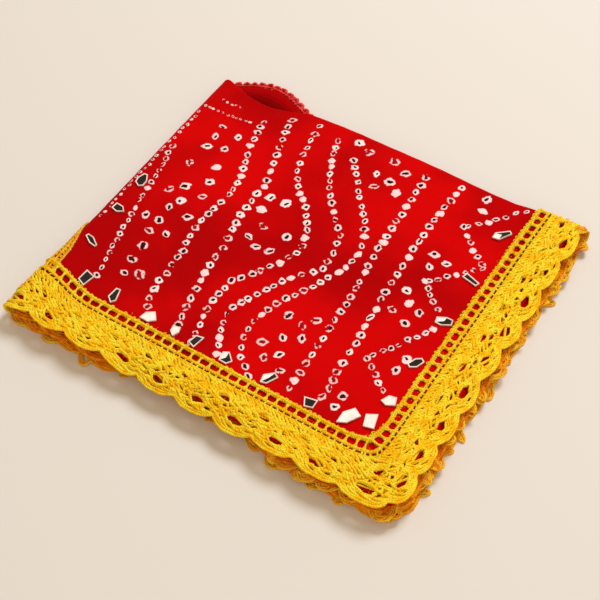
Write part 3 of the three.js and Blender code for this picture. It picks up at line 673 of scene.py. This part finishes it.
class Border:
    """One layer's lace. It carries (s, t, w) to (u, v, w)."""

    def __init__(self, sign_u, sign_v, slits):
        self.signs = sign_u, sign_v
        self.corner = FIELD_U, FIELD_U + CORNER_SPAN
        self.length = self.corner[1] + FIELD_V
        step_u, step_v = FIELD_U / REPEATS_U, FIELD_V / REPEATS_V
        self.pitch = step_u / EYELETS_PER_REPEAT
        tip_u, tip_v = (0.25 if sign > 0 else 0.75 for sign in self.signs)
        front, right = np.arange(REPEATS_U), np.arange(REPEATS_V)[::-1]
        ends = FIELD_U + 16, FIELD_U + 44
        self.tips = np.concatenate([(front + tip_u) * step_u, ends, self.length - (right + tip_v) * step_v])
        notches = np.concatenate([(front + 1 - tip_u) * step_u, self.length - (right + 1 - tip_v) * step_v])
        holes = [(tip, EYE[0], EYE[1] * rng.uniform(0.8, 1.3), EYE[2]) for tip in self.tips]
        holes += [(notch, DIAMOND[0], DIAMOND[1] * rng.uniform(0.8, 1.25), DIAMOND[2]) for notch in notches]
        holes.append((FIELD_U + CORNER_SPAN / 2, *CORNER_DIAMOND))
        for s in self.tips if slits else ():
            for away, t in SLITS:
                place = s + away + rng.normal(0, 1.6), t + rng.normal(0, 0.8)
                holes.append((*place, rng.uniform(2.0, 3.8), rng.uniform(1.5, 2.3)))
        self.holes = np.array(holes)

    def reach(self, s):
        """How far out the scallops reach."""
        order = np.clip(np.searchsorted(self.tips, s), 1, len(self.tips) - 1)
        before, after = self.tips[order - 1], self.tips[order]
        nearest = np.minimum(np.abs(s - before), np.abs(s - after)) / (after - before) * 2
        round_corner = CORNER_REACH * np.clip(1 - np.abs(s - FIELD_U - CORNER_SPAN / 2) / CORNER_SPAN, 0, 1)
        return NOTCH_REACH + SCALLOP_REACH * (1 - np.minimum(nearest, 1) ** 2.4) + round_corner

    def level(self, s, share):
        """The row that lies at the given share of the way from the dense band to the scallops' edge."""
        return BAND_ROW + (self.reach(s) - BAND_ROW) * share

    def stretch(self, s, t):
        """How much s changes over a millimetre of lace."""
        inside = (s > self.corner[0]) & (s < self.corner[1])
        return np.where(inside, CORNER_SPAN / (CORNER_LENGTH * np.maximum(t, 1)), 1)

    def places(self, t, pitch, start=0.0):
        """Even places along the row at t."""
        count = max(1, round(CORNER_LENGTH * t / pitch))
        bend = self.corner[0] + CORNER_SPAN * (np.arange(count) + 0.5) / count
        return np.concatenate([
            np.arange(start, self.corner[0], pitch),
            bend,
            np.arange(self.corner[1] + pitch / 2, self.length, pitch),
        ])

    def carry(self, s, t, w, parted=True):
        """The flat places of the lace's points, pushed out of its holes unless parted is False."""
        s, t = np.broadcast_arrays(np.asarray(s, float), np.asarray(t, float))
        if parted:
            away = np.stack([s[:, None] - self.holes[:, 0], t[:, None] - self.holes[:, 1]], -1)
            away = away / self.holes[:, 2:]
            ratio = np.linalg.norm(away, axis=-1) + 1e-3
            nearest = np.argmin(ratio, axis=1)
            rows = np.arange(len(s))
            ratio = ratio[rows, nearest]
            push = ((1 + ratio**4) ** 0.25 / ratio)[:, None] * away[rows, nearest] * self.holes[nearest, 2:]
            s, t = (self.holes[nearest, :2] + push).T
        angle = np.clip((s - FIELD_U) / CORNER_SPAN, 0, 1) * math.pi / 2
        along, out = np.sin(angle), np.cos(angle)
        size = (along**CORNER_POWER + out**CORNER_POWER) ** (1 / CORNER_POWER)
        u = np.minimum(s, FIELD_U) + t * along / size
        v = FIELD_V + t * out / size - np.maximum(s - self.corner[1], 0)
        aside = (u - FIELD_U) - (v - FIELD_V)
        cut = CORNER_CUT * np.exp(-((aside / CORNER_CUT_SPREAD) ** 2)) * np.clip(1 - t / LACE_WIDTH, 0, 1)
        return np.stack([self.signs[0] * (u - cut), self.signs[1] * (v - cut), w + 0 * u], -1)


def shaken(path, amount):
    """The path, as uneven as worked by hand."""
    return np.asarray(path, float) + rng.normal(0, amount, (len(path), 3)) * (1, 1, 0.5)


def add_chain(strands, border, t, pitch, radius):
    """Two strands that cross over each other all along the row."""
    start, end = ROW_START, border.length + ROW_PAST
    count = round((end - start) / pitch) * 4
    k = np.arange(count + 1)
    s = start + (end - start) * k / count
    for phase in (0, math.pi):
        sway, over = np.sin(k * math.pi / 2 + phase), np.cos(k * math.pi / 2 + phase)
        path = border.carry(s, t + 0.7 * sway, LACE_MIDDLE + 0.4 + 0.4 * over, parted=False)
        strands.add(shaken(path, 0.12), radius)


def add_stitches(strands, border, t0, t1, lean, pitch, radius, lift):
    """A course of slanting stitches from the row at t0 to the one at t1."""
    k = np.linspace(-0.5, 0.5, 5)
    bow = 1 - (2 * k) ** 2
    for s in border.places((t0 + t1) / 2, pitch):
        wander = rng.normal(0, 0.28)
        row = (t0 + t1) / 2 + (t1 - t0) * k + rng.normal(0, 0.2)
        along = s + (wander + lean * k * rng.uniform(0.8, 1.2)) * border.stretch(s, row.mean())
        height = LACE_MIDDLE - 0.3 + lift + 0.6 * bow
        strands.add(shaken(border.carry(along, row, height), 0.13), radius)


def add_bars(strands, border):
    """The bars between the eyelets, spread at both ends, and the small bars beyond them."""
    k = np.linspace(0, 1, 5)
    front = np.arange(0, FIELD_U + 1, border.pitch)
    right = np.arange(border.corner[1], border.length, border.pitch)
    for s in (*front, *right):
        s = s + rng.normal(0, 0.35)
        for spread in (-1.9, 0, 1.9):
            along = s + spread * np.abs(2 * k - 1) ** 1.5
            path = border.carry(along, 1.4 + 7.6 * k, LACE_MIDDLE + 0.15 * spread, parted=False)
            strands.add(shaken(path, 0.15), BAR_YARN)
    for s in border.places(MESH_MIDDLE, border.pitch * 0.64):
        along = s + rng.normal(0, 0.8) * (2 * k - 1) * border.stretch(s, MESH_MIDDLE) + rng.normal(0, 0.3)
        path = border.carry(along, EYELET_ROW + (MESH_ROW - EYELET_ROW) * k, LACE_MIDDLE, parted=False)
        strands.add(shaken(path, 0.15), BAR_YARN)


def add_outer(strands, border, rows):
    """The outer part: slanting stitches in rows that follow the scallops, closed off by thick cords."""
    reach = np.linspace(0.04, 0.8, rows)
    step = reach[1] - reach[0]
    for row, share in enumerate(reach):
        lean = 1 if row % 3 else -1
        for s in border.places(BAND_ROW + 22 * share, 5.2, rng.uniform(0, 4)):
            long = rng.uniform(7.5, 12.5)
            k = np.linspace(-0.5, 0.5, 6)
            along = s + (rng.normal(0, 0.7) + long * k) * border.stretch(s, BAND_ROW + 22 * share)
            slant = share + step * (rng.normal(0, 0.22) + 1.7 * lean * k)
            height = LACE_MIDDLE - 0.2 + 1.15 * (1 - (2 * k) ** 2) + rng.normal(0, 0.25)
            path = border.carry(along, border.level(along, slant), height)
            strands.add(shaken(path, 0.16), rng.uniform(0.95, 1.25))
    s = np.linspace(ROW_START, border.length + ROW_PAST, 330)
    for share, radius, w in EDGE_CORDS:
        drift = 0.01 * np.sin(s / 7 + 9 * share) + 0.008 * np.sin(s / 2.9 + 5 * share)
        strands.add(shaken(border.carry(s, border.level(s, share + drift), w), 0.16), radius)


def add_under(strands, border):
    """Rows straight behind the stitches, so that they lie on yarn and not on the air."""
    s = np.linspace(ROW_START + 1, border.length + ROW_PAST - 1, 260)
    height = LACE_MIDDLE - 0.6
    for share in np.linspace(0.02, 0.78, 8):
        path = border.carry(s, border.level(s, share), height)
        strands.add(shaken(path, 0.18), BAR_YARN)
    for t in (14.8, 18.6):
        strands.add(shaken(border.carry(s, t, height), 0.15), BAR_YARN)


LAYER_SIGNS = {"top": (1, -1), "second": (1, 1), "third": (-1, 1), "bottom": (-1, -1)}


def make_lace(layer, material):
    """One layer's lace. The dense band and the open rows are worked only where their right side shows."""
    fine, faces_up = layer == "top", layer in ("top", "bottom")
    strands = Strands(5 if fine else 4)
    border = Border(*LAYER_SIGNS[layer], slits=fine)
    add_under(strands, border)
    add_outer(strands, border, 8 if fine else 6)
    if faces_up:
        for t in (HEAD_ROW, EYELET_ROW, MESH_ROW, BAND_ROW):
            add_chain(strands, border, t, 3.3, CHAIN_YARN)
        head_cord = border.carry(np.linspace(ROW_START, border.length, 200), 2.1, 2.0, parted=False)
        strands.add(shaken(head_cord, 0.1), 0.95)
        add_bars(strands, border)
        add_stitches(strands, border, 13.2, 17.0, 6.2, 3.7, BAND_YARN, 0.3)
        add_stitches(strands, border, 16.8, 20.6, 6.2, 3.7, BAND_YARN, 0.4)
    return strands.piece(f"lace_{layer}", material, "lace_yarn", "lace_border")


# Loops of the lower layers that have worked loose, along the right, round the front corner and at the left:
# layer, start and end in s, and how many. They start from the lace at LOOP_ROOT.
LOOSE_LOOPS = (
    ("second", FIELD_U - 50, FIELD_U + 330, 22),
    ("third", FIELD_U - 90, FIELD_U + 330, 22),
    ("bottom", FIELD_U - 110, FIELD_U + 250, 14),
    ("bottom", 12, 120, 4),
)
LOOP_ROOT = 33


def make_loose_yarn(material):
    """The loose loops, each of a few strands that lie one inside the other."""
    strands = Strands(4)
    k = np.linspace(0, 1, 15)
    hang = np.sin(math.pi * k) ** 0.7
    for layer, start, end, count in LOOSE_LOOPS:
        border = Border(*LAYER_SIGNS[layer], slits=False)
        for s in np.linspace(start, end, count) + rng.uniform(-7, 7, count):
            wide, reach = rng.uniform(9, 26), rng.uniform(45, 50)
            lean, billow = rng.uniform(-9, 9), rng.uniform(-0.4, 1.8)
            for strand in range(rng.integers(4, 7)):
                out = LOOP_ROOT + (reach - LOOP_ROOT - 1.2 * strand) * hang
                along = s + (wide - 1.9 * strand) * (k - 0.5) + lean * hang
                apart = (0.25 + 0.3 * billow * np.sin(math.pi * k)) * strand
                lift = LACE_MIDDLE + 0.5 * np.sin(5 * k + strand) + apart
                path = border.carry(along, out + 0.5 * np.sin(9 * k + 2 * strand), lift, parted=False)
                strands.add(shaken(path, 0.15), CHAIN_YARN)
    return strands.piece("loose_yarn", material, "lace_yarn", "lace_border")


# The lace beside the left-hand fold: its ends as y from the front, how near the fold it starts and how wide
FOLD_LACE_FROM, FOLD_LACE_TO, FOLD_LACE_START, FOLD_LACE_WIDTH = 36, 100, 1, 13
FOLD_LACE_POINTS = 60


def make_fold_lace(material):
    """The narrow end of the lace that turns up along the left-hand fold and runs out."""
    strands = Strands(4)
    y = np.linspace(FOLD_LACE_FROM, FOLD_LACE_TO, FOLD_LACE_POINTS)
    v = on_top(0, y)[1]
    width = FOLD_LACE_WIDTH * (1 - ((y - FOLD_LACE_FROM) / (FOLD_LACE_TO - FOLD_LACE_FROM)) ** 2) + 0.8
    sway = np.arange(FOLD_LACE_POINTS) * 1.9
    for share in (0, 0.36, 0.68, 1):
        for phase in (0, math.pi):
            u = FOLD_LACE_START + width * share + 0.6 * np.sin(sway + phase)
            w = 1.7 + 0.4 * np.cos(sway + phase)
            strands.add(shaken(np.stack([u, v, w], -1), 0.12), 0.72)
    k = np.linspace(0, 1, 4)
    for i in range(1, FOLD_LACE_POINTS - 2, 4):
        for lean in (-2, 3):
            u = FOLD_LACE_START + width[i] * k
            bar = np.stack([u, v[i] + lean * (k - 0.5), 1.8 + 0.4 * np.sin(math.pi * k)], -1)
            strands.add(shaken(bar, 0.15), 0.75)
    return strands.piece("fold_lace", material, "lace_yarn", "lace_border")


FIBRE_COUNT = 1500


def make_fuzz(material):
    """Small loops along the inner row, and short fibres that stand off the yarn."""
    strands = Strands(3)
    borders = {layer: Border(*LAYER_SIGNS[layer], slits=False) for layer in ("top", "second", "third")}
    turn = np.linspace(0, math.pi, 6)
    for s in borders["top"].places(1.0, 4.1):
        wide, reach = rng.uniform(1.3, 2.1), rng.uniform(0.4, 2.2)
        path = borders["top"].carry(s - wide * np.cos(turn), 0.8 - reach * np.sin(turn), 2.2, parted=False)
        strands.add(shaken(path, 0.15), 0.7)
    for _ in range(FIBRE_COUNT):
        layer = ("top", "top", "top", "second", "third")[rng.integers(5)]
        border = borders[layer]
        s = rng.uniform(0, border.length)
        t = rng.uniform(0, 43) if layer == "top" else rng.uniform(38, 44)
        first, second = rng.normal(0, 1.5, 3), rng.normal(0, 1.1, 3)
        path = np.array([(0, 0, 0), first * (1, 1, 0.5), first + second])
        lift = 3.2 + np.abs(path[:, 2]) * 0.5
        strands.add(border.carry(s + path[:, 0], t + path[:, 1], lift, parted=False), FIBRE)
    return strands.piece("lace_fuzz", material, "lace_yarn", "lace_border")


# The picot strip: its ends along the fold, how many fans it has, and how far they stand out
PICOT_FROM, PICOT_TO, PICOT_COUNT = 9, 88, 12
PICOT_BASE, PICOT_REACH = 2.6, 4.2


def make_picots(material):
    """The red picot strip on the lower back fold: a cord, and small fans of loops that stand out from it."""
    strands = Strands(5)
    ends = np.linspace(-PICOT_FROM, -PICOT_TO, PICOT_COUNT + 1)
    for v, w in ((0.9, 1.8), (-0.9, 1.8), (0, PICOT_BASE)):
        u = np.linspace(ends[0], ends[-1], 90)
        cord = np.stack([u, v + 0.35 * np.sin(u * 2.1), w + 0.3 * np.cos(u * 2.1)], -1)
        strands.add(shaken(cord, 0.07), 0.85)
    turn = np.linspace(0, math.pi, 9)
    for a, b in zip(ends, ends[1:]):
        for shrink, v in ((1, 0), (0.66, 0.6), (0.66, -0.6), (0.3, 0)):
            u = a + (b - a) * (0.5 - 0.5 * shrink * np.cos(turn))
            loop = np.stack([u, v + 0 * u, PICOT_BASE + PICOT_REACH * shrink * np.sin(turn)], -1)
            strands.add(shaken(loop, 0.15), 0.95)
        for lean in (-0.22, 0, 0.22):
            u = (a + b) / 2 + (b - a) * lean * np.array([0.4, 0.8, 1.1])
            strands.add(shaken(np.stack([u, 0 * u, [2.2, 4.2, 6.0 - 4 * abs(lean)]], -1), 0.1), 0.95)
    return strands.piece("picots", material, "dyed_cotton", "picot_edging")


# The mirrors, as the solids have them, but higher, to clear the puckers. The columns are the centre's x from
# the left-hand fold and y from the front of the stack, length, width, turn in degrees, number of corners, and
# look: the painted reflection, bright, dark, or split between the two.
MIRROR_THICK = 1.2
MIRROR_CLEAR = 0.65
MIRROR_RIM, MIRROR_DISH = 0.9, 0.3
MIRRORS = (
    (12.5, 166, 16, 9, 95, 7, "dark"),
    (15, 126, 12, 9, 175, 5, "dark"),
    (17, 82, 14, 7, 170, 6, "dark"),
    (38, 52.5, 14, 12, 85, 4, "dark"),
    (67, 54, 16, 8, 100, 5, "dark"),
    (102, 51.5, 14, 10, 40, 5, "bright"),
    (127, 51.5, 11, 7, 105, 5, "bright"),
    (146, 52.5, 14, 8, 80, 4, "dark"),
    (174, 51.5, 12, 11, 120, 5, "split"),
    (211, 53.5, 15, 9, 60, 5, "split"),
    (249, 51.5, 12, 10, 20, 4, "dark"),
    (279, 56, 20, 10, 60, 5, "bright"),
    (296, 62, 14, 12, 105, 4, "bright"),
    (298, 84, 12, 9, 20, 5, "bright"),
    (298, 124, 13, 8, 50, 6, "dark"),
    (297, 170, 14, 9, 10, 6, "split"),
    (295, 218, 16, 7, 160, 4, "dark"),
    (294, 273, 16, 9, 45, 5, "split"),
)


def crack_glass(piece, face):
    """Parts the glass about its middle and gives two fifths of it the white painted reflection."""
    bpy.ops.object.mode_set(mode="EDIT")
    bpy.ops.mesh.select_all(action="DESELECT")
    bpy.ops.object.mode_set(mode="OBJECT")
    piece.data.polygons[face].select = True
    bpy.ops.object.mode_set(mode="EDIT")
    bpy.ops.mesh.select_mode(type="FACE")
    bpy.ops.mesh.poke()
    bpy.ops.object.mode_set(mode="OBJECT")
    parts = [f for f in piece.data.polygons if f.material_index == 1]
    parts.sort(key=lambda f: f.center.x)
    for part in parts[: len(parts) * 2 // 5]:
        part.material_index = 2


def make_mirror(number, row, edge, reflection_looks):
    """One mirror: a thin plate with uneven corners and a ground edge, flat on the cloth's slope."""
    x, y, long, wide, turn, corners, look = row
    u, v = on_top(x, y)
    i = np.arange(corners)
    angle = 2 * math.pi * (i + 0.5 + 0.16 * np.sin(2.3 * i + x)) / corners
    reach = 1 / np.maximum(np.abs(np.cos(angle)), np.abs(np.sin(angle))) ** 0.6
    p, q = 0.5 * long * reach * np.cos(angle), 0.5 * wide * reach * np.sin(angle)
    c, s = math.cos(math.radians(turn)), math.sin(math.radians(turn))
    centre = folded(u, v, CLOTH_THICK / 2)
    up = normal_of(u, v)
    under = folded(u + p * c - q * s, v + p * s + q * c, np.full(corners, CLOTH_THICK / 2))
    sag = (under - centre) @ up
    base = under - sag[:, None] * up + (max(0, sag.max()) + MIRROR_CLEAR) * up
    bpy.ops.object.select_all(action="DESELECT")
    bpy.ops.mesh.primitive_circle_add(vertices=corners, radius=0.01, fill_type="NGON")
    piece = bpy.context.object
    piece.name = f"glass_{number:02d}"
    for vertex, place in zip(piece.data.vertices, base / 1000):
        vertex.co = place
    bpy.ops.object.mode_set(mode="EDIT")
    bpy.ops.mesh.select_all(action="SELECT")
    lift = tuple(up * MIRROR_THICK / 1000)
    bpy.ops.mesh.extrude_region_move(TRANSFORM_OT_translate={"value": lift})
    bpy.ops.mesh.inset(thickness=MIRROR_RIM / 1000, depth=-MIRROR_DISH / 1000)
    bpy.ops.mesh.select_all(action="SELECT")
    bpy.ops.mesh.normals_make_consistent(inside=False)
    bpy.ops.object.mode_set(mode="OBJECT")
    # The glass face takes its look's painted reflection, white or near black; the ground edge is pale.
    for material in (edge, reflection_looks["bright" if look == "bright" else "dark"], reflection_looks["bright"]):
        piece.data.materials.append(material)
    glass = max((f for f in piece.data.polygons if f.normal.dot(Vector(up)) > 0.9), key=lambda f: f.area)
    glass.material_index = 1
    if look == "split":
        crack_glass(piece, glass.index)
    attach(piece, "root")
    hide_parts(f"mirror_{number:02d}")
    return piece


# Making

cloth = make_cloth(dyed_cotton())
# One yarn in lit and shaded copies, as painted light: the top lace is the lit copy; the second and third
# layers carry painted shade, deep orange where they lie in the recess under the top lace and take red bounce
# light; the bottom is a little shaded; the loose loops and the fold lace are lighter, painted as catching the
# light.
lit_top_yarn = crochet_yarn("lit_crochet_yarn", "#FFEA38", "#FFC60E")
shaded_inner_yarn = crochet_yarn("shaded_inner_crochet_yarn", "#FAA012", "#E26A08")
half_shaded_lower_yarn = crochet_yarn("half_shaded_lower_crochet_yarn", "#FFC024", "#F69A12")
lit_loop_yarn = crochet_yarn("lit_loose_crochet_yarn", "#FFD038", "#FBAA1A")
laces = [make_lace("top", lit_top_yarn)]
laces += [make_lace(layer, shaded_inner_yarn) for layer in ("second", "third")]
laces.append(make_lace("bottom", half_shaded_lower_yarn))
laces.append(make_loose_yarn(lit_loop_yarn))
laces.append(make_fold_lace(lit_loop_yarn))
laces.append(make_fuzz(lit_top_yarn))
# The red yarn's pale pink light colour, in its patches and hairs, is painted highlight on the picots.
picots = make_picots(crochet_yarn("red_crochet_yarn", "#FF5058", "#D00810"))
ground_edge = mirror_glass("ground_glass_edge", "#F8F0EC", "#E2D6D2", 0.7, 0.3)
# The mirrors' faces are painted reflections: near black where a mirror reflects the dark room, white where it
# catches the light.
painted_reflections = {
    "dark": mirror_glass("dark_painted_reflection_glass", "#0A0A0F", "#1B1B22", 0.1, 0.6),
    "bright": mirror_glass("white_painted_reflection_glass", "#FFFFFF", "#F1F3F5", 0.2, 0.8),
}
mirrors = [make_mirror(k + 1, row, ground_edge, painted_reflections) for k, row in enumerate(MIRRORS)]

# The floor, the light and the camera

bpy.ops.object.select_all(action="DESELECT")
bpy.ops.mesh.primitive_plane_add(size=8, location=(0, 0, 0))
floor = bpy.context.object
floor.name = "floor"
floor.data.materials.append(painted_floor())

# The lights, as name, place, size, power and colour: a soft one from behind, a weak warm one from the front
LIGHTS = (
    ("key", Vector((0.2, 1.8, 2.4)), 1.3, 60, (1.0, 1.0, 1.0)),
    ("fill", Vector((0.9, -1.2, 1.6)), 2.2, 10, (1.0, 0.82, 0.62)),
)
for name, place, size, power, colour in LIGHTS:
    light = bpy.data.objects.new(name, bpy.data.lights.new(name, "AREA"))
    light.data.shape = "DISK"
    light.data.size = size
    light.data.energy = power
    light.data.color = colour
    light.location = place
    light.visible_glossy = False
    light.rotation_mode = "QUATERNION"
    light.rotation_quaternion = (-place).to_track_quat("-Z", "Y")
    bpy.context.scene.collection.objects.link(light)
world = bpy.data.worlds.new("studio")
world.use_nodes = True
sky = world.node_tree.nodes["Background"]
sky.inputs["Color"].default_value = linear("#FBE0BE")
sky.inputs["Strength"].default_value = 0.5
bpy.context.scene.world = world
bpy.context.scene.view_settings.view_transform = "Standard"

# The photo's view: the angles, the distance in metres, the point that it looks at and the lens in mm
CAMERA_AZIMUTH, CAMERA_ELEVATION = math.radians(32.49), math.radians(52.84)
CAMERA_DISTANCE = 1.104
CAMERA_TARGET = Vector((0.0093, -0.0165, 0))
CAMERA_LENS, CAMERA_SENSOR = 83.1, 36
level = math.cos(CAMERA_ELEVATION)
back = Vector((
    math.sin(CAMERA_AZIMUTH) * level,
    -math.cos(CAMERA_AZIMUTH) * level,
    math.sin(CAMERA_ELEVATION),
))
camera = bpy.data.objects.new("camera", bpy.data.cameras.new("camera"))
camera.data.lens = CAMERA_LENS
camera.data.sensor_width = CAMERA_SENSOR
camera.location = CAMERA_TARGET + back * CAMERA_DISTANCE
camera.rotation_mode = "QUATERNION"
camera.rotation_quaternion = (-back).to_track_quat("-Z", "Y")
bpy.context.scene.collection.objects.link(camera)
bpy.context.scene.camera = camera
